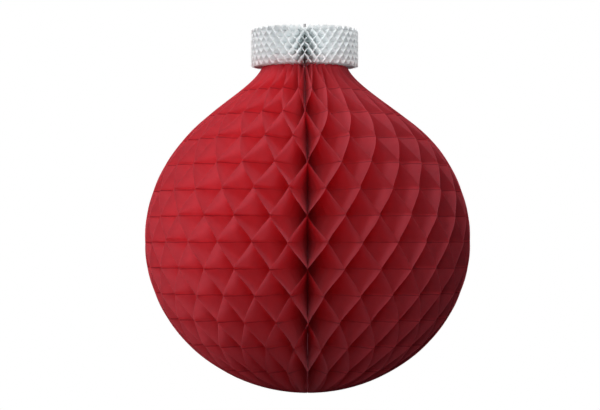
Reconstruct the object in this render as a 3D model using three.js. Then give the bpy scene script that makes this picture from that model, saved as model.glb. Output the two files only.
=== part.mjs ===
// A honeycomb paper bauble, opened out and ready to hang: a red tissue ball with a neck, a silver
// paper cap, and the two card covers that meet behind it. Millimetres, +Z up, front towards -Y.
// The origin is the centre of the hole that the hanging thread goes through.

import * as THREE from "three";

// Outline of the red ball. Heights are measured from its widest level.
const ballRadius = 100;
const ballDrop = 93.7;
const domeHeight = 95;
const shoulderHeight = 66;
const neckHeight = 106.6;
const neckRadius = 26.2;
const neckFlare = 0.45;

// How far the sweep from shoulder to neck keeps each end's slope, as shares of its height
const shoulderPull = 0.4;
const neckPull = 0.3;

// Red honeycomb: sheets all round, and glue lines from a little above the bottom up to the neck
const bodySheets = 58;
const bodyGluePitch = 15.4;
const bodyGlueMargin = 15.8;
const bodyGlueWidth = 1.5;

// Silver cap on the neck, with glue lines too fine to have a width
const capRadius = 33;
const capHeight = 22.6;
const capSheets = 80;
const capGluePitch = 3.55;
const capGlueMargin = 2.3;

// Paper, card and the strip between the covers
const paperThickness = 0.35;
const coverThickness = 0.5;
const stripThickness = 0.3;
const stripWidth = 12;
const stripLength = 120;
const clearance = 0.3;

// Where the sheets crowd together round the axis. The end cells' core lines stay off the slot by a
// part of the step between columns.
const coreRadius = 7;
const endCellShift = 0.4;

// How far a sheet has swung to the next glue line where a straight edge or the bottom cuts it
const edgeSwing = 0.7;
const bottomSwing = 0.5;

// Levels that round off the outline past the outer glue lines
const bottomSteps = 3;
const neckSteps = 2;
const coverSteps = 24;

// Tab at the top of the covers, with the hole for the thread
const tabWidth = 9;
const tabRise = 3.8;
const tabCorner = 0.7 * tabRise;
const holeRadius = 0.8;

const capBottom = neckHeight + clearance;
const capTop = capBottom + capHeight;
const holeHeight = capTop + tabRise / 2;
const slotHalf = stripThickness / 2 + coverThickness + clearance;

const materials = {
  red: new THREE.MeshStandardMaterial({ color: 0xa81c28, roughness: 0.85, metalness: 0 }),
  silver: new THREE.MeshStandardMaterial({ color: 0xd2d4d6, roughness: 0.5, metalness: 0.2 }),
  card: new THREE.MeshStandardMaterial({ color: 0x77787a, roughness: 0.8, metalness: 0 }),
  adhesive: new THREE.MeshStandardMaterial({ color: 0xf0ead8, roughness: 0.4, metalness: 0 }),
};

// Radius of half an ellipse at a height
function domeRadius(z, halfHeight) {
  return ballRadius * Math.sqrt(Math.max(0, 1 - (z / halfHeight) ** 2));
}

// The sweep from the dome into the neck leaves the dome along its own slope.
const shoulderRadius = domeRadius(shoulderHeight, domeHeight);
const shoulderSlope = (-shoulderHeight * (ballRadius / domeHeight) ** 2) / shoulderRadius;
const sweepHeight = neckHeight - shoulderHeight;
const sweep = new THREE.CubicBezierCurve(
  new THREE.Vector2(shoulderRadius, shoulderHeight),
  new THREE.Vector2(
    shoulderRadius + shoulderPull * sweepHeight * shoulderSlope,
    shoulderHeight + shoulderPull * sweepHeight,
  ),
  new THREE.Vector2(neckRadius + neckPull * sweepHeight * neckFlare, neckHeight - neckPull * sweepHeight),
  new THREE.Vector2(neckRadius, neckHeight),
);

// The point of the sweep at a height, found by halving, since the sweep only climbs
function sweepRadius(z) {
  const halvings = 40;
  let low = 0;
  let high = 1;
  for (let step = 0; step < halvings; step++) {
    const middle = (low + high) / 2;
    if (sweep.getPoint(middle).y < z) low = middle;
    else high = middle;
  }
  return sweep.getPoint(high).x;
}

function bodyRadius(z) {
  if (z <= 0) return domeRadius(z, ballDrop);
  return z <= shoulderHeight ? domeRadius(z, domeHeight) : sweepRadius(z);
}

// The height on the rounded bottom where the outline has a radius
function bottomHeight(radius) {
  return -ballDrop * Math.sqrt(1 - (radius / ballRadius) ** 2);
}

// Triangles over a flat outline of vertex numbers, all turning the way that "turn" says
function fillOutline(outline, flat, turn) {
  const points = outline.map(flat);
  return THREE.ShapeUtils.triangulateShape(points, []).map((corners) => {
    const [a, b, c] = corners.map((i) => points[i]);
    const area = (b.x - a.x) * (c.y - a.y) - (c.x - a.x) * (b.y - a.y);
    const [p, q, r] = corners.map((i) => outline[i]);
    return area * turn > 0 ? [p, q, r] : [p, r, q];
  });
}

// A pad of sheets opened round the axis. Sheets zigzag between columns, which are numbered from one
// side of the slot at the back (0) round to the other ("sheets"). Column k is glued at every second
// line, and between two of its glued places lies a cell: open at the outline, and closed to an upright
// line at the core. "low" and "high" list the levels past the outer glue lines, with each one's swing.
function honeycomb({ sheets, lines, glueWidth, swingHeight, radiusAt, low, high }) {
  const positions = [];
  const triangles = [];
  const last = lines.length - 1;
  const glued = (column, line) => (column + line + 2) % 2 === 1;

  const point = (x, y, z) => positions.push(x, y, z) / 3 - 1;
  const fanStep = (radius) => (2 * Math.PI - 2 * Math.asin(slotHalf / radius)) / sheets;
  const at = (column, radius, z) => {
    const angle = Math.asin(slotHalf / radius) + column * fanStep(radius);
    return point(-radius * Math.sin(angle), radius * Math.cos(angle), z);
  };
  const triangle = (a, b, c) => {
    if (a !== b && b !== c && c !== a) triangles.push([a, b, c]);
  };
  const quad = (a, b, c, d) => {
    triangle(a, b, c);
    triangle(a, c, d);
  };

  // Sideways travel of a sheet for each mm of height, in mm, at a level between glue lines
  const slope = (z, swing, height) => (radiusAt(z) * fanStep(radiusAt(z)) * swing) / height;
  // How far a cell's tip stays from the glued place above or below it
  const tipGap = (lean) => ((paperThickness / 2) * Math.hypot(1, lean)) / lean;
  // Half a sheet, or a glued pair, as a share of the step between columns
  const share = (width, z) => width / (radiusAt(z) * fanStep(radiusAt(z)));
  // A place on a cell's centre line at the core, or on its side at the outline. Both are held off the
  // slot, where the flat end sheets are.
  const offSlot = (column, gap) => Math.min(Math.max(column, gap), sheets - gap);
  const core = (column, z) => at(offSlot(column, endCellShift), coreRadius, z);
  const side = (column, z) => at(offSlot(column, share(paperThickness, z)), radiusAt(z), z);

  // Cells by column and line. A cell is a ladder of rungs from its top down: at each level it has a
  // left and a right side on the outline and a place at the core.
  const cells = new Map();
  const cellAt = (column, line) => cells.get(`${column},${line}`);

  const levelSides = (column, line, level, middle) => {
    if (radiusAt(level.z) <= coreRadius + 1e-6) return { left: middle, right: middle };
    const half = share(paperThickness / 2, level.z);
    const beyond = line < 0 || line > last;
    const reach = beyond ? level.swing - half : 1 - level.swing - half;
    return { left: side(column - reach, level.z), right: side(column + reach, level.z) };
  };

  const addLevels = (cell, column, line, levels) => {
    for (const level of levels) {
      const middle = core(column, level.z);
      const { left, right } = levelSides(column, line, level, middle);
      cell.rungs.push({ left, right, core: middle });
    }
  };

  const addTip = (cell, column, line, direction, { swing, height }) => {
    const lean = slope(lines[line], swing, height);
    const z = lines[line] + direction * (glueWidth / 2 + tipGap(lean));
    const tip = side(column, z);
    cell.rungs.push({ left: tip, right: tip, core: core(column, z) });
  };

  // Beside the glued places of its own line a cell has an upper and a lower corner, which are one where
  // the glue is too fine to have a width and where a flat end sheet is the side.
  const addCorners = (cell, column, line) => {
    const z = lines[line];
    const lean = slope(z, 1, swingHeight);
    const slant = (paperThickness / 2) * Math.hypot(1, lean);
    const width = glueWidth > 0 ? paperThickness : slant;
    const rise = glueWidth > 0 ? glueWidth / 2 + (width - slant) / lean : 0;
    const corners = (direction) => {
      const to = column + direction * (1 - share(width, z));
      const flat = to < 0 || to > sheets || rise === 0;
      return (flat ? [z] : [z + rise, z - rise]).map((height) => side(to, height));
    };
    const left = corners(-1);
    const right = corners(1);
    const middle = core(column, z);
    cell.upper = { left: left[0], right: right[0], core: middle };
    cell.lower = rise > 0 ? { left: left.at(-1), right: right.at(-1), core: middle } : cell.upper;
    cell.rungs.push(...new Set([cell.upper, cell.lower]));
  };

  const toBottom = { swing: low.at(-1).swing, height: lines[0] - low.at(-1).z };
  const toTop = { swing: high.at(-1).swing, height: high.at(-1).z - lines[last] };
  const between = { swing: 1, height: swingHeight };
  for (let column = 0; column <= sheets; column++) {
    for (let line = -1; line <= last + 1; line++) {
      if (glued(column, line)) continue;
      const cell = { rungs: [] };
      if (line >= last) addLevels(cell, column, line, high.toReversed());
      else addTip(cell, column, line + 1, -1, line < 0 ? toBottom : between);
      if (line >= 0 && line <= last) addCorners(cell, column, line);
      if (line <= 0) addLevels(cell, column, line, low);
      else addTip(cell, column, line - 1, 1, line > last ? toTop : between);
      cells.set(`${column},${line}`, cell);
    }
  }

  // The walls of each cell, from the outline in to the core
  for (const { rungs } of cells.values()) {
    for (let i = 0; i + 1 < rungs.length; i++) {
      const over = rungs[i];
      const under = rungs[i + 1];
      quad(under.left, under.core, over.core, over.left);
      triangle(under.right, over.core, under.core);
      triangle(under.right, over.right, over.core);
    }
  }

  // What a column shows between two glue lines, from the lower one up
  const stretch = (column, line) => {
    const own = !glued(column, line);
    const { rungs, upper, lower } = cellAt(column, own ? line : line + 1);
    const from = !own && lower ? rungs.indexOf(lower) : 0;
    const to = own && upper ? rungs.indexOf(upper) + 1 : rungs.length;
    return rungs.slice(from, to).toReversed();
  };

  // Edges of the slot, with a point at every glue line and level
  const slotEdge = (column) => {
    const heights = [...low.toReversed().map(({ z }) => z), ...lines, ...high.map(({ z }) => z)];
    return heights.map((z) => at(column, Math.max(radiusAt(z), coreRadius), z));
  };
  const slotLeft = slotEdge(0);
  const slotRight = slotEdge(sheets);

  // The cut edges of the sheets between glue lines
  for (let line = -1; line <= last; line++) {
    const columns = Array.from({ length: sheets + 1 }, (_, column) => stretch(column, line));
    const first = line < 0 ? 0 : low.length + line;
    for (let i = 0; i + 1 < columns[0].length; i++) {
      for (let sheet = 0; sheet < sheets; sheet++) {
        const before = columns[sheet];
        const after = columns[sheet + 1];
        quad(before[i].right, after[i].left, after[i + 1].left, before[i + 1].right);
      }
      const start = columns[0];
      const end = columns[sheets];
      quad(slotLeft[first + i], start[i].left, start[i + 1].left, slotLeft[first + i + 1]);
      quad(end[i].right, slotRight[first + i], slotRight[first + i + 1], end[i + 1].right);
    }
  }

  // The glued places themselves
  for (let line = 0; line <= last; line++) {
    for (let column = 0; column <= sheets; column++) {
      if (!glued(column, line)) continue;
      const slotPoint = low.length + line;
      const before = cellAt(column - 1, line);
      const after = cellAt(column + 1, line);
      const leftUp = before ? before.upper.right : slotLeft[slotPoint];
      const leftDown = before ? before.lower.right : slotLeft[slotPoint];
      const rightUp = after ? after.upper.left : slotRight[slotPoint];
      const rightDown = after ? after.lower.left : slotRight[slotPoint];
      const above = stretch(column, line)[0].left;
      const below = stretch(column, line - 1).at(-1).left;
      quad(leftDown, rightDown, rightUp, leftUp);
      triangle(leftDown, below, rightDown);
      triangle(leftUp, rightUp, above);
    }
  }

  // The slot's floor and sides, and the flat ends of the core
  const bottom = low.at(-1).z;
  const top = high.at(-1).z;
  const floorLeft = [point(-slotHalf, -clearance, bottom), point(-slotHalf, -clearance, top)];
  const floorRight = [point(slotHalf, -clearance, bottom), point(slotHalf, -clearance, top)];
  quad(floorRight[0], floorLeft[0], floorLeft[1], floorRight[1]);

  const fromSide = (i) => new THREE.Vector2(positions[3 * i + 1], positions[3 * i + 2]);
  const fromTop = (i) => new THREE.Vector2(positions[3 * i], positions[3 * i + 1]);
  triangles.push(...fillOutline([floorLeft[0], ...slotLeft, floorLeft[1]], fromSide, 1));
  triangles.push(...fillOutline([floorRight[0], ...slotRight, floorRight[1]], fromSide, -1));

  const endOutline = (line, pick, slotIndex, floorIndex) => {
    const outline = [floorLeft[floorIndex], slotLeft.at(slotIndex)];
    for (let column = 0; column <= sheets; column++) {
      const rung = stretch(column, line).at(pick);
      outline.push(rung.left, rung.core, rung.right);
    }
    outline.push(slotRight.at(slotIndex), floorRight[floorIndex]);
    return outline.filter((vertex, i) => vertex !== outline[i - 1]);
  };
  triangles.push(...fillOutline(endOutline(last, -1, -1, 1), fromTop, 1));
  triangles.push(...fillOutline(endOutline(-1, 0, 0, 0), fromTop, -1));

  const geometry = new THREE.BufferGeometry();
  geometry.setAttribute("position", new THREE.Float32BufferAttribute(positions, 3));
  geometry.setIndex(triangles.flat());
  const faceted = geometry.toNonIndexed();
  faceted.computeVertexNormals();
  return faceted;
}

// Glue lines from the lowest one up, the last at least half a pitch below the top
function glueLines(lowest, pitch, top) {
  const count = Math.floor((top - lowest) / pitch + 0.5);
  return Array.from({ length: count }, (_, i) => lowest + i * pitch);
}

// Levels from an outer glue line to a straight cut edge, with the swing growing evenly
function edgeLevels(from, to, steps) {
  return Array.from({ length: steps }, (_, i) => {
    const part = (i + 1) / steps;
    return { z: from + (to - from) * part, swing: edgeSwing * part };
  });
}

// Levels from the lowest glue line round the bottom to the core, at even steps of radius
function bottomLevels(from, steps) {
  const startRadius = bodyRadius(from);
  const end = bottomHeight(coreRadius);
  return Array.from({ length: steps }, (_, i) => {
    const z = bottomHeight(startRadius + ((coreRadius - startRadius) * (i + 1)) / steps);
    return { z, swing: (bottomSwing * (z - from)) / (end - from) };
  });
}

function bodyPad() {
  const lines = glueLines(bodyGlueMargin - ballDrop, bodyGluePitch, neckHeight);
  return honeycomb({
    sheets: bodySheets,
    lines,
    glueWidth: bodyGlueWidth,
    swingHeight: bodyGluePitch - bodyGlueWidth,
    radiusAt: bodyRadius,
    low: bottomLevels(lines[0], bottomSteps),
    high: edgeLevels(lines.at(-1), neckHeight, neckSteps),
  });
}

function capPad() {
  const lines = glueLines(capBottom + capGlueMargin, capGluePitch, capTop);
  return honeycomb({
    sheets: capSheets,
    lines,
    glueWidth: 0,
    swingHeight: capGluePitch,
    radiusAt: () => capRadius,
    low: edgeLevels(lines[0], capBottom, 1),
    high: edgeLevels(lines.at(-1), capTop, 1),
  });
}

// Half the bauble's outline in one card, with the tab and its hole at the top. The shape's x runs
// back from the axis and its y runs up.
function coverShape() {
  const shape = new THREE.Shape();
  shape.moveTo(0, -ballDrop);
  for (let i = 1; i <= coverSteps; i++) {
    const angle = (i / coverSteps) * (Math.PI / 2);
    shape.lineTo(ballRadius * Math.sin(angle), -ballDrop * Math.cos(angle));
  }
  const shoulder = Math.asin(shoulderHeight / domeHeight);
  for (let i = 1; i <= coverSteps / 2; i++) {
    const angle = (i / (coverSteps / 2)) * shoulder;
    shape.lineTo(ballRadius * Math.cos(angle), domeHeight * Math.sin(angle));
  }
  sweep.getPoints(coverSteps / 2).slice(1).forEach(({ x, y }) => shape.lineTo(x, y));
  shape.lineTo(neckRadius, capBottom);
  shape.lineTo(capRadius, capBottom);
  shape.lineTo(capRadius, capTop);
  shape.lineTo(tabWidth / 2, capTop);
  const cornerHeight = capTop + tabRise - tabCorner;
  const cornerBack = tabWidth / 2 - tabCorner;
  shape.absarc(cornerBack, cornerHeight, tabCorner, 0, Math.PI / 2, false);
  shape.absarc(-cornerBack, cornerHeight, tabCorner, Math.PI / 2, Math.PI, false);
  shape.lineTo(-tabWidth / 2, capTop + clearance);
  shape.lineTo(0, capTop + clearance);
  const hole = new THREE.Path();
  hole.absarc(0, holeHeight, holeRadius, 0, 2 * Math.PI, true);
  shape.holes.push(hole);
  return shape;
}

// Lays a shape drawn as (back, up) in the plane of the covers, from x = "from" on towards +X
const intoCoverPlane = new THREE.Matrix4().makeBasis(
  new THREE.Vector3(0, 1, 0),
  new THREE.Vector3(0, 0, 1),
  new THREE.Vector3(1, 0, 0),
);

function sheetOf(shape, thickness, from) {
  const geometry = new THREE.ExtrudeGeometry(shape, {
    depth: thickness,
    bevelEnabled: false,
    curveSegments: 6,
  });
  geometry.translate(0, 0, from);
  geometry.applyMatrix4(intoCoverPlane);
  return geometry;
}

function stripShape() {
  const shape = new THREE.Shape();
  const middle = ballRadius / 2;
  shape.moveTo(middle - stripWidth / 2, -stripLength / 2);
  shape.lineTo(middle + stripWidth / 2, -stripLength / 2);
  shape.lineTo(middle + stripWidth / 2, stripLength / 2);
  shape.lineTo(middle - stripWidth / 2, stripLength / 2);
  shape.closePath();
  return shape;
}

function piece(name, geometry, material) {
  const mesh = new THREE.Mesh(geometry, material);
  mesh.name = name;
  return mesh;
}

const bauble = new THREE.Group();
bauble.position.z = -holeHeight;
bauble.add(
  piece("honeycomb_body", bodyPad(), materials.red),
  piece("honeycomb_cap", capPad(), materials.silver),
  piece(
    "cover_board_left",
    sheetOf(coverShape(), coverThickness, -stripThickness / 2 - coverThickness),
    materials.card,
  ),
  piece(
    "cover_board_right",
    sheetOf(coverShape(), coverThickness, stripThickness / 2),
    materials.card,
  ),
  piece(
    "adhesive_strip",
    sheetOf(stripShape(), stripThickness, -stripThickness / 2),
    materials.adhesive,
  ),
);

const part = new THREE.Group();
part.add(bauble);

export default part;
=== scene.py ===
# %% [markdown]
# # A honeycomb paper bauble
# This notebook dresses a measured model of a hanging paper ball: a red tissue honeycomb with a neck, a
# ring of finer silver honeycomb as its cap, and two card covers that meet behind. The measured model
# is loaded first and never changes. Every piece made here takes its place from it, in metres, with the
# covers at +Y and the camera at -Y.

# %% Load the measured model
import math

import bmesh
import bpy
import numpy as np
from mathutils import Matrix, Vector


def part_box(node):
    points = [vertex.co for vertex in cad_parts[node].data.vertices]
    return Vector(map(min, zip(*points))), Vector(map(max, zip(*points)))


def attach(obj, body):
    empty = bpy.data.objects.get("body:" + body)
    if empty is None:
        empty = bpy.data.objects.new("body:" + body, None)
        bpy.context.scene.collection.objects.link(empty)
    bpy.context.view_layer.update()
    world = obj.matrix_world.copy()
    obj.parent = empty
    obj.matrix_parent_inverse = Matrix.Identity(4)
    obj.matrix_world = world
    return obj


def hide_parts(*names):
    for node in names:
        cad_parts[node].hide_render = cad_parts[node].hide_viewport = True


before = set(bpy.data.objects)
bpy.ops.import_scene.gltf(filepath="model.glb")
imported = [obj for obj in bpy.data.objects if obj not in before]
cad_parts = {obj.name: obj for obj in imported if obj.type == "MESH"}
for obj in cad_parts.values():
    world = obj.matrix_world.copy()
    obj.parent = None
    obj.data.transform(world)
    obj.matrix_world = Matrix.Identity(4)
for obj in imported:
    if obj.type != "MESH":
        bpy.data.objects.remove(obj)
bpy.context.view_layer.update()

body_low, body_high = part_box("honeycomb_body")
cap_low, cap_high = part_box("honeycomb_cap")
print("nodes:", sorted(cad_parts))
print("ball from", tuple(round(v, 4) for v in body_low), "to", tuple(round(v, 4) for v in body_high))

# %% [markdown]
# ## The outline of the ball
# The sheets of the real ball are all cut to one outline, so one function that gives the radius at a
# height shapes every sheet. Below the widest level it is a slightly flattened half circle. Above it is
# a dome that sweeps in to the neck on one smooth curve. Heights here are measured from the widest
# level, because that is where the photo's eye level is too.

# %% Outline
MM = 0.001
BALL_RADIUS = 100 * MM
BALL_DROP = 93.7 * MM
DOME_HEIGHT = 95 * MM
SHOULDER_HEIGHT = 66 * MM
NECK_HEIGHT = 106.6 * MM
NECK_RADIUS = 26.2 * MM
NECK_FLARE = 0.45
SHOULDER_PULL = 0.4
NECK_PULL = 0.3
middle_z = body_high.z - NECK_HEIGHT


def dome_radius(z, half_height):
    return BALL_RADIUS * np.sqrt(np.clip(1 - (z / half_height) ** 2, 0, None))


def sweep_points(count):
    """Radius and height along the curve from the shoulder to the neck."""
    height = NECK_HEIGHT - SHOULDER_HEIGHT
    radius = float(dome_radius(SHOULDER_HEIGHT, DOME_HEIGHT))
    slope = -SHOULDER_HEIGHT * (BALL_RADIUS / DOME_HEIGHT) ** 2 / radius
    ends = np.array([
        [radius, SHOULDER_HEIGHT],
        [radius + SHOULDER_PULL * height * slope, SHOULDER_HEIGHT + SHOULDER_PULL * height],
        [NECK_RADIUS + NECK_PULL * height * NECK_FLARE, NECK_HEIGHT - NECK_PULL * height],
        [NECK_RADIUS, NECK_HEIGHT],
    ])
    t = np.linspace(0, 1, count)[:, None]
    weights = [(1 - t) ** 3, 3 * (1 - t) ** 2 * t, 3 * (1 - t) * t * t, t ** 3]
    return sum(weight * end for weight, end in zip(weights, ends)).T


sweep_radii, sweep_heights = sweep_points(120)


def ball_outline(z):
    """Radius of the red ball at heights above its widest level."""
    z = np.asarray(z, float)
    dome = dome_radius(z, np.where(z <= 0, BALL_DROP, DOME_HEIGHT))
    return np.where(z <= SHOULDER_HEIGHT, dome, np.interp(z, sweep_heights, sweep_radii))


def bottom_height(radius):
    return -BALL_DROP * math.sqrt(1 - (radius / BALL_RADIUS) ** 2)


print("radius at the widest level", float(ball_outline(0.0)))
print("radius at the neck", float(ball_outline(NECK_HEIGHT)))

# %% [markdown]
# The bauble in the photo isn't quite straight: from the shoulder up it leans a little to the left. One
# function gives that sideways shift, and the paper and the covers all follow it.

# %% Lean of the neck
LEAN = -1.7 * MM
LEAN_FROM = 55 * MM
LEAN_TO = 88 * MM


def lean(z):
    rise = np.clip((np.asarray(z, float) - LEAN_FROM) / (LEAN_TO - LEAN_FROM), 0, 1)
    return LEAN * rise * rise * (3 - 2 * rise)


print("sideways shift at the neck", float(lean(NECK_HEIGHT)))

# %% [markdown]
# ## How a sheet runs
# The pad is a stack of sheets glued along level lines. Between two sheets the lines skip every other
# place, so when the pad is opened round its axis each sheet swings left and right, and diamond cells
# open between neighbours. A sheet is followed from the bottom up as a list of heights, and at each
# height it has a column: whole numbers are glued places, and everything between is free paper that
# leaves the glue on a soft bend. Glue is never quite even, so each glued place gets its own small
# shift and height, the same for the two sheets that share it. The random numbers start from a fixed
# seed, so the ball comes out the same each time.

# %% Glued places
SEED = 20
rng = np.random.default_rng(SEED)
print("random numbers start from", SEED)


def glued(column, line):
    return (column + line) % 2 == 1


def make_glue(pad):
    """A shift in columns, a shift in height and a strip height for each glued place of a pad."""
    places = {}
    for column in range(pad["sheets"] + 1):
        for line in range(len(pad["lines"])):
            if glued(column, line):
                places[column, line] = (
                    rng.normal(0, pad["column_jitter"]),
                    rng.normal(0, pad["height_jitter"]),
                    pad["strip"] * rng.uniform(0.7, 1.6),
                )
    return places


# %% [markdown]
# A real sheet is flat before the pad is opened. Here its opened course is written down as a path: up
# through the glued places one after another, with a few steps of free paper between them. The lowest
# and highest stretches are free, and go only part of the way to the next column.

# %% Path of one sheet
def soft_swing(v, softness):
    """From 0 to 1, leaving and reaching the glue on a bend."""
    return v - softness * np.sin(2 * np.pi * v) / (2 * np.pi)


def sheet_path(pad, glue, sheet):
    """Heights, columns and sides (-1 left of the glue, 1 right of it) along one sheet."""
    heights, columns, sides, bulges = [], [], [], []
    lines = pad["lines"]
    place = [sheet if glued(sheet, line) else sheet + 1 for line in range(len(lines))]

    def add(z, column, side, bulge=0.0):
        heights.append(z)
        columns.append(column)
        sides.append(side)
        bulges.append(bulge)

    def side_of(column):
        return 1 if column == sheet else -1

    first_shift = glue[place[0], 0][0]
    towards = 2 * sheet + 1 - place[0]
    for z, swing in reversed(pad["low"]):
        mix = place[0] + first_shift + (towards - place[0]) * swing
        add(z, mix, side_of(place[0]) * (1 - 2 * swing))
    for line, z in enumerate(lines):
        shift, lift, strip = glue[place[line], line]
        add(z + lift - strip / 2, place[line] + shift, side_of(place[line]))
        add(z + lift + strip / 2, place[line] + shift, side_of(place[line]))
        if line + 1 == len(lines):
            break
        next_shift, next_lift, next_strip = glue[place[line + 1], line + 1]
        softness = rng.uniform(*pad["softness"])
        bulge = rng.normal(0, pad["bulge"])
        start = (z + lift + strip / 2, place[line] + shift)
        end = (lines[line + 1] + next_lift - next_strip / 2, place[line + 1] + next_shift)
        for v in np.linspace(0, 1, pad["steps"] + 1)[1:-1]:
            swing = soft_swing(v, softness)
            side = side_of(place[line]) * (1 - 2 * swing)
            mix = start[1] + (end[1] - start[1]) * swing
            add(start[0] + (end[0] - start[0]) * v, mix, side, bulge * math.sin(math.pi * v))
    last = place[-1]
    last_shift = glue[last, len(lines) - 1][0]
    towards = 2 * sheet + 1 - last
    for z, swing in pad["high"]:
        add(z, last + last_shift + (towards - last) * swing, side_of(last) * (1 - 2 * swing))
    return tuple(np.array(values) for values in (heights, columns, sides, bulges))


# %% [markdown]
# ## From a path to paper
# Tissue is so thin that one surface per sheet is the truthful form, and light can pass through it in
# one step. A sheet is a grid of points. Along a radius it stays straight, as paper does that is bent
# one way only, and a little waviness grows towards the outline. Each point also keeps its distance
# from the cut edge, which the materials use later for the colour at the cut edge, partly loose fibres
# and partly painted light, and for the painted light deep in the cells.

# %% Opening the fan
cover_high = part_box("cover_board_right")[1]
SLOT_GAP = 0.1 * MM
CURL_FROM = 0.4
CURL_POWER = 1.5
print("the covers take up", 2 * cover_high.x, "between the end sheets")


def fan_angle(pad, column, radius):
    """Angle from the covers, which lie at +Y, round to a column."""
    slot = np.arcsin((cover_high.x + SLOT_GAP) / radius)
    return slot + column * (2 * np.pi - 2 * slot) / pad["sheets"]


def on_fan(radius, angle, heights):
    """Points at radii and angles, as an array of (level, station, xyz)."""
    x = lean(heights) - radius * np.sin(angle)
    return np.stack([x, radius * np.cos(angle), heights + middle_z], axis=-1)


def sheet_points(pad, heights, columns, sides, bulges, waver, trim):
    """Points of one sheet and their distances from its cut edge."""
    stations = np.array(pad["stations"])
    outline = pad["outline"](heights) - trim
    radius = pad["inner"] + (outline - pad["inner"])[:, None] * stations[None, :]
    near_rim = np.clip((stations - CURL_FROM) / (1 - CURL_FROM), 0, 1) ** CURL_POWER
    sideways = (bulges + waver)[:, None] * near_rim[None, :] + sides[:, None] * pad["glue"]
    angle = fan_angle(pad, columns[:, None], radius) + sideways / radius
    level = np.repeat(heights[:, None], len(stations), axis=1)
    return on_fan(radius, angle, level), outline[:, None] - radius


def smooth_noise(count, spread, amount):
    """A gentle random wave along a sheet."""
    raw = rng.normal(0, 1, count + 2 * spread)
    kernel = np.hanning(2 * spread + 1)
    wave = np.convolve(raw, kernel / np.sqrt((kernel ** 2).sum()), mode="valid")
    return amount * wave[:count]


# %% [markdown]
# At the axis all the sheets of a pad crowd together. One narrow strip that runs round there closes
# each cell at its deep end, so that no light shows through from behind.

# %% The crowded middle of a pad
SPINE_OVERLAP = 1.02
DEEP = 50 * MM


def spine_points(pad):
    heights = np.array([pad["low"][-1][0], *pad["lines"], pad["high"][-1][0]])
    columns = np.arange(pad["sheets"] + 1)
    radius = np.full((len(heights), len(columns)), pad["inner"] * SPINE_OVERLAP)
    angle = fan_angle(pad, columns[None, :], radius)
    level = np.repeat(heights[:, None], len(columns), axis=1)
    return on_fan(radius, angle, level), np.full(radius.shape, DEEP)


# %% [markdown]
# Sheets that are glued together are one piece on the real ball, so all the sheets of a pad go into one
# mesh. Shading is smooth where paper bends and sharp where it turns at a glue line.

# %% One mesh from all the sheets of a pad
FOLD_ANGLE = math.radians(6)


def pad_mesh(name, pad, paths):
    """Joins the sheets of a pad and its spine into one mesh, with the edge distance as a UV map."""
    grids = [spine_points(pad)]
    for heights, columns, sides, bulges in paths:
        waver = smooth_noise(len(heights), 4, pad["waver"])
        trim = abs(rng.normal(0, pad["trim"]))
        grids.append(sheet_points(pad, heights, columns, sides, bulges, waver, trim))
    faces, start = [], 0
    for points, _ in grids:
        rows, across = points.shape[:2]
        number = start + np.arange(rows * across).reshape(rows, across)
        corners = [number[:-1, :-1], number[:-1, 1:], number[1:, 1:], number[1:, :-1]]
        faces.append(np.stack(corners, axis=-1).reshape(-1, 4))
        start += rows * across
    points = np.concatenate([grid.reshape(-1, 3) for grid, _ in grids])
    away = np.concatenate([distance.reshape(-1) for _, distance in grids])
    faces = np.concatenate(faces)
    mesh = bpy.data.meshes.new(name)
    mesh.from_pydata(points.tolist(), [], faces.tolist())
    uv = np.stack([away, points[:, 2]], axis=-1)[faces.reshape(-1)]
    mesh.uv_layers.new(name="edge_distance").data.foreach_set("uv", uv.reshape(-1))
    mesh.polygons.foreach_set("use_smooth", np.ones(len(faces), bool))
    mesh.set_sharp_from_angle(angle=FOLD_ANGLE)
    mesh.update()
    piece = bpy.data.objects.new(name, mesh)
    bpy.context.scene.collection.objects.link(piece)
    print(name, "has", len(paths), "sheets and", 2 * len(faces), "triangles")
    return piece


def flat_path(pad, column):
    """An end sheet that lies flat against a cover."""
    inner = [z for z, _ in reversed(pad["low"])] + list(pad["lines"]) + [z for z, _ in pad["high"]]
    heights = np.array(inner)
    zero = np.zeros(len(heights))
    return heights, zero + column, zero, zero


# %% [markdown]
# ## The red ball
# The red pad has 58 zigzag sheets and a flat one at each end. Its glue lines are 15.4 mm apart. Past
# the lowest line the sheets spread evenly as they run round the bottom to the axis, so that stretch
# gets extra levels at even steps of radius.

# %% Build the red honeycomb
def levels_to_edge(start, end, steps, swing):
    return [(start + (end - start) * (i + 1) / steps, swing * (i + 1) / steps) for i in range(steps)]


def levels_round_bottom(start, inner, steps, swing):
    start_radius = float(ball_outline(start))
    end = bottom_height(inner)
    heights = [bottom_height(start_radius + (inner - start_radius) * (i + 1) / steps) for i in range(steps)]
    return [(z, swing * (z - start) / (end - start)) for z in heights]


GLUE_PITCH = 15.4 * MM
LOWEST_GLUE = 15.8 * MM - BALL_DROP
BOTTOM_END_RADIUS = 3.4 * MM
ball_lines = [LOWEST_GLUE + i * GLUE_PITCH for i in range(12)]
ball_pad = {
    "sheets": 58,
    "lines": ball_lines,
    "strip": 0.8 * MM,
    "glue": 0.04 * MM,
    "inner": 1.5 * MM,
    "outline": ball_outline,
    "stations": [0, 0.25, 0.5, 0.7, 0.85, 0.95, 1],
    "steps": 6,
    "low": levels_round_bottom(ball_lines[0], BOTTOM_END_RADIUS, 10, 0.5),
    "high": levels_to_edge(ball_lines[-1], NECK_HEIGHT, 6, 0.7),
    "column_jitter": 0.045,
    "height_jitter": 0.4 * MM,
    "softness": (0.0, 0.2),
    "bulge": 0.25 * MM,
    "waver": 0.06 * MM,
    "trim": 0.08 * MM,
}
ball_glue = make_glue(ball_pad)
ball_paths = [sheet_path(ball_pad, ball_glue, sheet) for sheet in range(ball_pad["sheets"])]
ball_paths += [flat_path(ball_pad, 0), flat_path(ball_pad, ball_pad["sheets"])]
red_ball = pad_mesh("red_ball", ball_pad, ball_paths)

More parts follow.
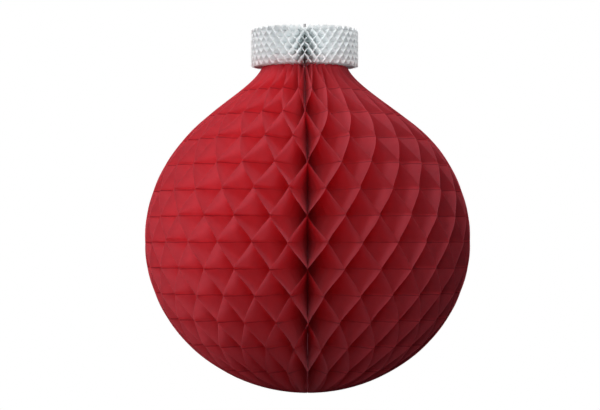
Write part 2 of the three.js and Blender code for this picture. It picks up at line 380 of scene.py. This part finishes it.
# %% [markdown]
# ## The silver cap
# The cap is the same kind of pad with 80 sheets and glue lines only 3.55 mm apart, cut to a straight
# band that hides the top of the neck. Its heights are measured from the same level as the ball's.

# %% Build the silver honeycomb
CAP_RADIUS = 33 * MM
CAP_PITCH = 3.55 * MM
CAP_FIRST_GLUE = 2.3 * MM
cap_bottom = cap_low.z - middle_z
cap_top = cap_high.z - middle_z
cap_lines = [cap_bottom + CAP_FIRST_GLUE + i * CAP_PITCH for i in range(6)]
cap_pad = {
    "sheets": 80,
    "lines": cap_lines,
    "strip": 0.5 * MM,
    "glue": 0.04 * MM,
    "inner": 2.0 * MM,
    "outline": lambda z: np.full(len(z), CAP_RADIUS),
    "stations": [0, 0.4, 0.7, 0.9, 1],
    "steps": 4,
    "low": levels_to_edge(cap_lines[0], cap_bottom, 3, 0.7),
    "high": levels_to_edge(cap_lines[-1], cap_top, 3, 0.7),
    "column_jitter": 0.025,
    "height_jitter": 0.08 * MM,
    "softness": (0.1, 0.5),
    "bulge": 0.06 * MM,
    "waver": 0.03 * MM,
    "trim": 0.08 * MM,
}
cap_glue = make_glue(cap_pad)
cap_paths = [sheet_path(cap_pad, cap_glue, sheet) for sheet in range(cap_pad["sheets"])]
cap_paths += [flat_path(cap_pad, 0), flat_path(cap_pad, cap_pad["sheets"])]
silver_cap = pad_mesh("silver_cap", cap_pad, cap_paths)

# %% [markdown]
# ## Materials
# Paper is never one flat colour. Tissue has cloudy fibres, fine crinkles and a darker band where it is
# glued, which is partly glue and partly painted shade. Those effects are used by more than one paper
# here, so each is a node group with named inputs, and every material sets its own values. The groups
# could be painted pictures instead, but noise in object space stays sharp at any size and needs no
# unfolding of the sheets.

# %% Helpers for node trees
def new_group(name, inputs, outputs):
    group = bpy.data.node_groups.new(name, "ShaderNodeTree")
    for label, kind, value in inputs:
        socket = group.interface.new_socket(label, in_out="INPUT", socket_type=kind)
        socket.default_value = value
    for label, kind in outputs:
        group.interface.new_socket(label, in_out="OUTPUT", socket_type=kind)
    source = group.nodes.new("NodeGroupInput")
    target = group.nodes.new("NodeGroupOutput")
    return group, source.outputs, target.inputs


def add_math(tree, operation, first, second=None, third=None):
    node = tree.nodes.new("ShaderNodeMath")
    node.operation = operation
    for socket, value in zip(node.inputs, (first, second, third)):
        if value is None:
            continue
        if isinstance(value, (int, float)):
            socket.default_value = value
        else:
            tree.links.new(value, socket)
    return node.outputs[0]


def add_noise(tree, vector, scale, detail, roughness):
    node = tree.nodes.new("ShaderNodeTexNoise")
    tree.links.new(vector, node.inputs["Vector"])
    for label, value in (("Scale", scale), ("Detail", detail), ("Roughness", roughness)):
        if isinstance(value, (int, float)):
            node.inputs[label].default_value = value
        else:
            tree.links.new(value, node.inputs[label])
    return node.outputs["Fac"]


# %% [markdown]
# ### Fibres and crinkles
# Held to the light, paper shows cloudy patches where its fibres lie closer, and a hand that opens the
# ball leaves fine crinkles. One soft noise makes the clouds, a finer one makes the crinkles, and both
# together are the height that the bump follows.

# %% Paper fibre group
def make_fibre_group():
    """Cloudy fibre and fine crinkle, in object space, as a mask from 0 to 1 and a height."""
    group, source, target = new_group(
        "paper_fibre",
        [("Cloud Scale", "NodeSocketFloat", 300.0), ("Crinkle Scale", "NodeSocketFloat", 900.0)],
        [("Cloud", "NodeSocketFloat"), ("Height", "NodeSocketFloat")],
    )
    coordinates = group.nodes.new("ShaderNodeTexCoord").outputs["Object"]
    cloud = add_noise(group, coordinates, source["Cloud Scale"], 3.0, 0.6)
    fine = add_noise(group, coordinates, source["Crinkle Scale"], 2.0, 0.7)
    group.links.new(cloud, target["Cloud"])
    group.links.new(add_math(group, "MULTIPLY_ADD", fine, 0.4, cloud), target["Height"])
    return group


# %% [markdown]
# ### Glue lines
# Glue soaks into paper and darkens it along level lines at an even spacing, and the band is also
# painted shade for the crease there and for the dimmer light through two glued sheets. The group works
# out how far a point is from the nearest line, with a slight wobble, because a glue roller never runs
# quite true.

# %% Glue line group
WOBBLE_HEIGHT = 0.8 * MM
WOBBLE_SCALE = 120.0


def make_glue_and_shade_group():
    """A mask that is 1 on the level glue lines, a band of glue and painted shade, and 0 between them."""
    group, source, target = new_group(
        "glue_and_shade_lines",
        [
            ("Lowest", "NodeSocketFloat", 0.0),
            ("Pitch", "NodeSocketFloat", 0.01),
            ("Half Width", "NodeSocketFloat", 0.001),
        ],
        [("Mask", "NodeSocketFloat")],
    )
    coordinates = group.nodes.new("ShaderNodeTexCoord").outputs["Object"]
    split = group.nodes.new("ShaderNodeSeparateXYZ")
    group.links.new(coordinates, split.inputs[0])
    wobble = add_noise(group, coordinates, WOBBLE_SCALE, 1.0, 0.5)
    lifted = add_math(group, "MULTIPLY_ADD", wobble, WOBBLE_HEIGHT, split.outputs["Z"])
    above = add_math(group, "SUBTRACT", lifted, source["Lowest"])
    steps = add_math(group, "DIVIDE", above, source["Pitch"])
    away = add_math(group, "ABSOLUTE", add_math(group, "SUBTRACT", steps, add_math(group, "ROUND", steps)))
    distance = add_math(group, "MULTIPLY", away, source["Pitch"])
    near = add_math(group, "DIVIDE", distance, source["Half Width"])
    mask = add_math(group, "SUBTRACT", 1.0, add_math(group, "MINIMUM", near, 1.0))
    group.links.new(mask, target["Mask"])
    return group


# %% [markdown]
# ### Cut edges
# A knife leaves loose fibres at the outermost half millimetre of a sheet, and the colour given there is
# also painted light: a paler painted highlight on the red tissue and a darker painted shade on the
# silver paper. The mask comes from the distances that the meshes keep in their UV map. With a large
# width the same group tells how deep in a cell a point lies.

# %% Cut edge group
def make_edge_group():
    """A mask that is 1 at the cut edge of a sheet and falls to 0 over the given width."""
    group, source, target = new_group(
        "cut_edge",
        [("Width", "NodeSocketFloat", 0.0005)],
        [("Mask", "NodeSocketFloat")],
    )
    distance = group.nodes.new("ShaderNodeUVMap")
    distance.uv_map = "edge_distance"
    split = group.nodes.new("ShaderNodeSeparateXYZ")
    group.links.new(distance.outputs[0], split.inputs[0])
    near = add_math(group, "DIVIDE", split.outputs["X"], source["Width"])
    mask = add_math(group, "SUBTRACT", 1.0, add_math(group, "MINIMUM", near, 1.0))
    group.links.new(mask, target["Mask"])
    return group


fibre_group = make_fibre_group()
glue_and_shade_group = make_glue_and_shade_group()
edge_group = make_edge_group()
print("node groups", fibre_group.name, glue_and_shade_group.name, edge_group.name)


# %% [markdown]
# ### Colour of the paper
# The colour starts from the clouds between two close shades. Glue lines and cut edges go over it, and
# the deep ends of the cells get a lighter tint. Real paper is one colour all the way in. The tint is a
# makeshift, chosen by trial so that the cells don't come out darker than in the photo.

# %% Colour of the paper
CLOUD_LOW = 0.3
CLOUD_HIGH = 0.7


def group_node(tree, group, **values):
    node = tree.nodes.new("ShaderNodeGroup")
    node.node_tree = group
    for label, value in values.items():
        node.inputs[label.replace("_", " ")].default_value = value
    return node


def mix_colour(tree, mask, first, second):
    """Mixes a colour socket with a plain colour where the mask is 1."""
    node = tree.nodes.new("ShaderNodeMix")
    node.data_type = "RGBA"
    tree.links.new(mask, node.inputs["Factor"])
    tree.links.new(first, node.inputs["A"])
    node.inputs["B"].default_value = (*second, 1)
    return node.outputs["Result"]


def clouded_colour(tree, fibre, low, high):
    ramp = tree.nodes.new("ShaderNodeValToRGB")
    ramp.color_ramp.elements[0].position = CLOUD_LOW
    ramp.color_ramp.elements[0].color = (*low, 1)
    ramp.color_ramp.elements[1].position = CLOUD_HIGH
    ramp.color_ramp.elements[1].color = (*high, 1)
    tree.links.new(fibre.outputs["Cloud"], ramp.inputs["Fac"])
    return ramp.outputs["Color"]


def honeycomb_colour(tree, colour, look):
    """Adds glue lines that are partly painted shade, cut edges that are partly painted light, and the
    painted light of the deep cells.
    """
    # The glue band darkens the colour partly for the glue and partly as painted shade of the crease and of
    # two glued sheets.
    glue = group_node(tree, glue_and_shade_group, Lowest=look["lowest"], Pitch=look["pitch"],
                      Half_Width=look["glue_and_shade_width"])
    colour = mix_colour(tree, glue.outputs["Mask"], colour, look["glue_and_painted_shade_colour"])
    # The cut edge colour is painted light: a painted highlight on the red tissue, which loose fibres also
    # pale, and a painted shade on the silver paper.
    edge = group_node(tree, edge_group, Width=look["edge_width"])
    colour = mix_colour(tree, edge.outputs["Mask"], colour, look["edge_colour_with_painted_light"])
    outer = group_node(tree, edge_group, Width=look["depth"])
    inner = add_math(tree, "SUBTRACT", 1.0, outer.outputs["Mask"])
    return mix_colour(tree, inner, colour, look["deep_colour"])


# %% [markdown]
# ### Shader of the paper
# Thin paper throws part of the light back and passes part of it on, softly. The first is the Principled
# shader and the second a Translucent one, mixed. Tissue also lets a little light straight through and
# has a soft sheen. How much of each was found by trial, not measured on paper.

# %% Paper material
CRINKLE_DEPTH = 0.15 * MM
SHEEN_ROUGHNESS = 0.4


def paper_material(name, low, high, see_through, look):
    """Paper with clouded colour and crinkles, and light that comes through from behind."""
    material = bpy.data.materials.new(name)
    material.use_nodes = True
    tree = material.node_tree
    shader = tree.nodes["Principled BSDF"]
    fibre = group_node(tree, fibre_group, Cloud_Scale=look["cloud"], Crinkle_Scale=look["crinkle"])
    colour = clouded_colour(tree, fibre, low, high)
    if "pitch" in look:
        colour = honeycomb_colour(tree, colour, look)
    bump = tree.nodes.new("ShaderNodeBump")
    bump.inputs["Strength"].default_value = look["bump"]
    bump.inputs["Distance"].default_value = CRINKLE_DEPTH
    tree.links.new(fibre.outputs["Height"], bump.inputs["Height"])
    tree.links.new(bump.outputs["Normal"], shader.inputs["Normal"])
    tree.links.new(colour, shader.inputs["Base Color"])
    shader.inputs["Roughness"].default_value = look["roughness"]
    shader.inputs["Specular IOR Level"].default_value = look["specular"]
    shader.inputs["Sheen Weight"].default_value = look["sheen"]
    shader.inputs["Sheen Roughness"].default_value = SHEEN_ROUGHNESS
    shader.inputs["Sheen Tint"].default_value = (*look["sheen_tint"], 1)
    through = tree.nodes.new("ShaderNodeBsdfTranslucent")
    tree.links.new(colour, through.inputs["Color"])
    blend = tree.nodes.new("ShaderNodeMixShader")
    blend.inputs["Fac"].default_value = see_through
    tree.links.new(shader.outputs[0], blend.inputs[1])
    tree.links.new(through.outputs[0], blend.inputs[2])
    surface = blend
    if "clear" in look:
        clear = tree.nodes.new("ShaderNodeBsdfTransparent")
        tree.links.new(colour, clear.inputs["Color"])
        surface = tree.nodes.new("ShaderNodeMixShader")
        surface.inputs["Fac"].default_value = look["clear"]
        tree.links.new(blend.outputs[0], surface.inputs[1])
        tree.links.new(clear.outputs[0], surface.inputs[2])
    tree.links.new(surface.outputs[0], tree.nodes["Material Output"].inputs["Surface"])
    print("material", name)
    return material


# %% [markdown]
# ### Red tissue and silver paper
# Red tissue is thin enough for light to come through, which evens out the lit side and keeps the
# shadows warm. The red written here is lighter than the ball looks, because the lamps are low and the
# cells shade one another. The silver paper is a light, slightly cool grey with a satin surface. Its cut
# edges get a painted shade, darker than its walls, which keeps the cap's sides from glaring.

# %% Red and silver papers
tissue_look = {
    "cloud": 260.0, "crinkle": 1100.0, "bump": 0.25, "roughness": 0.8, "specular": 0.1,
    "sheen": 0.5, "sheen_tint": (1, 0.45, 0.55),
    # The glue width and glue colour make a band that is partly glue and partly painted shade.
    "pitch": GLUE_PITCH, "lowest": LOWEST_GLUE + middle_z, "glue_and_shade_width": 0.45 * MM,
    "clear": 0.12, "depth": 60 * MM, "deep_colour": (0.985, 0.34, 0.44),
    # The edge colour here is a painted highlight as well as the paler loose fibres.
    "glue_and_painted_shade_colour": (0.62, 0.06, 0.09), "edge_width": 0.5 * MM, "edge_colour_with_painted_light": (0.96, 0.2, 0.24),
}
silver_look = {
    "cloud": 400.0, "crinkle": 1500.0, "bump": 0.2, "roughness": 0.5, "specular": 0.3,
    "sheen": 0.3, "sheen_tint": (1, 1, 1),
    # The glue width and glue colour make a band that is partly glue and partly painted shade.
    "pitch": CAP_PITCH, "lowest": cap_lines[0] + middle_z, "glue_and_shade_width": 0.3 * MM,
    "depth": 25 * MM, "deep_colour": (0.94, 0.96, 0.96),
    # The edge colour here is a painted shade.
    "glue_and_painted_shade_colour": (0.76, 0.765, 0.77), "edge_width": 0.5 * MM, "edge_colour_with_painted_light": (0.82, 0.82, 0.82),
}
red_tissue = paper_material(
    "red_tissue", (0.955, 0.125, 0.165), (0.98, 0.145, 0.185), 0.46, tissue_look)
silver_paper = paper_material(
    "silver_paper", (0.84, 0.86, 0.865), (0.88, 0.9, 0.905), 0.42, silver_look)
red_ball.data.materials.append(red_tissue)
silver_cap.data.materials.append(silver_paper)

# %% [markdown]
# ### Card covers
# The covers are punched from grey card and hold the two ends of each pad. Each one starts as a copy of
# its measured board. It gets a row of level cuts where the neck leans, so that it can bend, and a tiny
# bevel, because punched card has soft corners.

# %% Covers
LEAN_CUTS = 12
CARD_CORNER = 0.06 * MM
card_look = {
    "cloud": 500.0, "crinkle": 1600.0, "bump": 0.15, "roughness": 0.85, "specular": 0.2,
    "sheen": 0.1, "sheen_tint": (1, 1, 1),
}
cover_card = paper_material("cover_card", (0.1, 0.1, 0.105), (0.16, 0.16, 0.165), 0.0, card_look)


def make_cover(name, node):
    """A leaning copy of one measured cover, with its corners softened."""
    board = bmesh.new()
    board.from_mesh(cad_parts[node].data)
    bmesh.ops.dissolve_limit(board, angle_limit=math.radians(0.5), verts=board.verts, edges=board.edges)
    for z in np.linspace(LEAN_FROM, LEAN_TO, LEAN_CUTS):
        everything = board.verts[:] + board.edges[:] + board.faces[:]
        bmesh.ops.bisect_plane(board, geom=everything, plane_co=(0, 0, middle_z + z), plane_no=(0, 0, 1))
    for corner in board.verts:
        corner.co.x += float(lean(corner.co.z - middle_z))
    mesh = bpy.data.meshes.new(name)
    board.to_mesh(mesh)
    board.free()
    mesh.materials.clear()
    mesh.materials.append(cover_card)
    cover = bpy.data.objects.new(name, mesh)
    bpy.context.scene.collection.objects.link(cover)
    soften = cover.modifiers.new("soft_corners", "BEVEL")
    soften.width = CARD_CORNER
    soften.segments = 2
    soften.limit_method = "ANGLE"
    print(name, "has", len(mesh.polygons), "faces before its bevel")
    return cover


left_cover = make_cover("left_cover", "cover_board_left")
right_cover = make_cover("right_cover", "cover_board_right")

# %% [markdown]
# ### Adhesive strip
# A double-sided strip between the covers keeps the ball open. Its measured shape is right as it is, so
# it only gets a surface: a smooth film of the colour of old paste.

# %% Adhesive strip
film_look = {
    "cloud": 500.0, "crinkle": 1600.0, "bump": 0.05, "roughness": 0.4, "specular": 0.5,
    "sheen": 0.0, "sheen_tint": (1, 1, 1),
}
adhesive_film = paper_material("adhesive_film", (0.7, 0.68, 0.6), (0.78, 0.76, 0.68), 0.1, film_look)
strip_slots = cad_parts["adhesive_strip"].data.materials
strip_slots.clear()
strip_slots.append(adhesive_film)

# %% [markdown]
# ## Hanging the pieces in place
# Each piece stands for its measured node and belongs to the one body that the bauble has.

# %% Ride and replace
for piece, node, slot in ((red_ball, "honeycomb_body", "red_tissue"),
                          (silver_cap, "honeycomb_cap", "silver_paper"),
                          (left_cover, "cover_board_left", "cover_card"),
                          (right_cover, "cover_board_right", "cover_card")):
    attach(piece, "root")
    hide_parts(node)
    print(piece.name, "stands for", node)

# %% [markdown]
# ## Floor, light and camera
# The bauble hangs in front of plain white, as in the photo. A pale floor lies so far below it that a
# camera can also look up at it. Floor and world show white to the camera only, so that they don't flood
# the paper with light, and a weak bluish world fills the shade.

# %% Floor and world
def white_to_camera(tree, lit_shader):
    """A shader that the camera sees as plain white and the lamps see as itself."""
    path = tree.nodes.new("ShaderNodeLightPath")
    white = tree.nodes.new("ShaderNodeEmission" if lit_shader.bl_idname != "ShaderNodeBackground"
                           else "ShaderNodeBackground")
    white.inputs["Color"].default_value = (1, 1, 1, 1)
    white.inputs["Strength"].default_value = 1
    blend = tree.nodes.new("ShaderNodeMixShader")
    tree.links.new(path.outputs["Is Camera Ray"], blend.inputs["Fac"])
    tree.links.new(lit_shader.outputs[0], blend.inputs[1])
    tree.links.new(white.outputs[0], blend.inputs[2])
    return blend


FLOOR_DROP = 1200 * MM
FLOOR_SIZE = 6.0
floor_mesh = bpy.data.meshes.new("floor")
half = FLOOR_SIZE / 2
floor_z = body_low.z - FLOOR_DROP
floor_mesh.from_pydata([(-half, -half, floor_z), (half, -half, floor_z), (half, half, floor_z),
                        (-half, half, floor_z)], [], [(0, 1, 2, 3)])
floor = bpy.data.objects.new("floor", floor_mesh)
bpy.context.scene.collection.objects.link(floor)
floor_paint = bpy.data.materials.new("pale_floor")
floor_paint.use_nodes = True
floor_tree = floor_paint.node_tree
floor_shader = floor_tree.nodes["Principled BSDF"]
floor_shader.inputs["Base Color"].default_value = (0.14, 0.14, 0.14, 1)
floor_shader.inputs["Roughness"].default_value = 0.9
floor_tree.links.new(white_to_camera(floor_tree, floor_shader).outputs[0],
                     floor_tree.nodes["Material Output"].inputs["Surface"])
floor_mesh.materials.append(floor_paint)

world = bpy.data.worlds.new("studio")
world.use_nodes = True
bpy.context.scene.world = world
sky = world.node_tree.nodes["Background"]
sky.inputs["Color"].default_value = (0.35, 0.55, 1.0, 1)
sky.inputs["Strength"].default_value = 0.02
world.node_tree.links.new(white_to_camera(world.node_tree, sky).outputs[0],
                          world.node_tree.nodes["World Output"].inputs["Surface"])
print("the floor lies", FLOOR_DROP, "below the ball")

# %% [markdown]
# ### Lamps
# The photo's left side is bright and its right side falls off, without hard shadows. One large softbox
# at the left gives the bright side, two smaller ones add light from high and low, a weak one at the
# front reaches into the cells, and one at the back serves whoever looks at the covers.

# %% Lamps
middle = Vector((0, 0, middle_z))


def aim(thing, target):
    thing.rotation_euler = (target - thing.location).to_track_quat("-Z", "Y").to_euler()


def add_lamp(name, azimuth, elevation, distance, width, height, watts):
    """A softbox aimed at the ball's middle. Azimuth 0 is in front, and left is negative."""
    data = bpy.data.lights.new(name, "AREA")
    data.shape = "RECTANGLE"
    data.size = width
    data.size_y = height
    data.energy = watts
    lamp = bpy.data.objects.new(name, data)
    bpy.context.scene.collection.objects.link(lamp)
    side, rise = math.radians(azimuth), math.radians(elevation)
    reach = distance * math.cos(rise)
    place = (reach * math.sin(side), -reach * math.cos(side), distance * math.sin(rise))
    lamp.location = middle + Vector(place)
    lamp.visible_camera = False
    aim(lamp, middle)
    print(name, "gives", watts, "W")
    return lamp


left_softbox = add_lamp("left_softbox", -88, 30, 1.8, 1.0, 1.0, 13.2)
add_lamp("high_softbox", -28, 52, 1.8, 0.6, 0.6, 6.7)
add_lamp("low_softbox", -32, 15, 1.8, 1.0, 1.0, 4.6)
add_lamp("front_light", 0, 12, 1.8, 0.5, 0.5, 4.0)
add_lamp("back_softbox", 178, 20, 1.8, 1.0, 1.0, 9.0)

# %% [markdown]
# With the ball's lamps alone the cap came out much darker than in the photo. As a makeshift it gets two
# softboxes of its own here, which a real studio would not have, and they light it well above the level
# of the ball. Light linking gives a lamp a list of what it lights: these two light nothing else, and
# the softbox at the left leaves the cap out. Under one common light the cap looks darker beside the red
# than it does in this render.

# %% Softboxes for the cap
cap_softboxes = [add_lamp("cap_softbox_left", -30, 22, 1.6, 0.6, 0.6, 24.0),
                 add_lamp("cap_softbox_right", 38, 22, 1.6, 0.6, 0.6, 24.0)]


def link_cap(lamp, state):
    """Includes or excludes the silver cap from the pieces that a lamp lights."""
    pieces = bpy.data.collections.new(lamp.name + "_receivers")
    pieces.objects.link(silver_cap)
    pieces.collection_objects[0].light_linking.link_state = state
    lamp.light_linking.receiver_collection = pieces


for softbox in cap_softboxes:
    link_cap(softbox, "INCLUDE")
link_cap(left_softbox, "EXCLUDE")

# %% [markdown]
# ### Camera
# The camera stands at the height of the ball's widest level, a little over a metre away. It is turned
# slightly up and left, which puts the ball right of the middle and low in the frame, as in the photo.

# %% Camera
CAMERA_DISTANCE = 1.097
CAMERA_LENS = 106.8
AIM_ASIDE = -4.65 * MM
AIM_UP = 21.6 * MM
camera_data = bpy.data.cameras.new("camera")
camera_data.lens = CAMERA_LENS
camera_data.sensor_width = 36
camera_data.clip_end = 50
camera = bpy.data.objects.new("camera", camera_data)
bpy.context.scene.collection.objects.link(camera)
camera.location = middle + Vector((0, -CAMERA_DISTANCE, 0))
aim(camera, middle + Vector((AIM_ASIDE, 0, AIM_UP)))
bpy.context.scene.camera = camera
bpy.context.scene.view_settings.view_transform = "Standard"
print("the camera stands at", tuple(round(v, 3) for v in camera.location))

# %% [markdown]
# Tissue hands light on through many layers, so light paths may be longer here than by default.

# %% Light paths
paths = bpy.context.scene.cycles
paths.max_bounces = 24
paths.diffuse_bounces = 12
paths.transmission_bounces = 16
paths.transparent_max_bounces = 8
print("light may bounce", paths.max_bounces, "times")
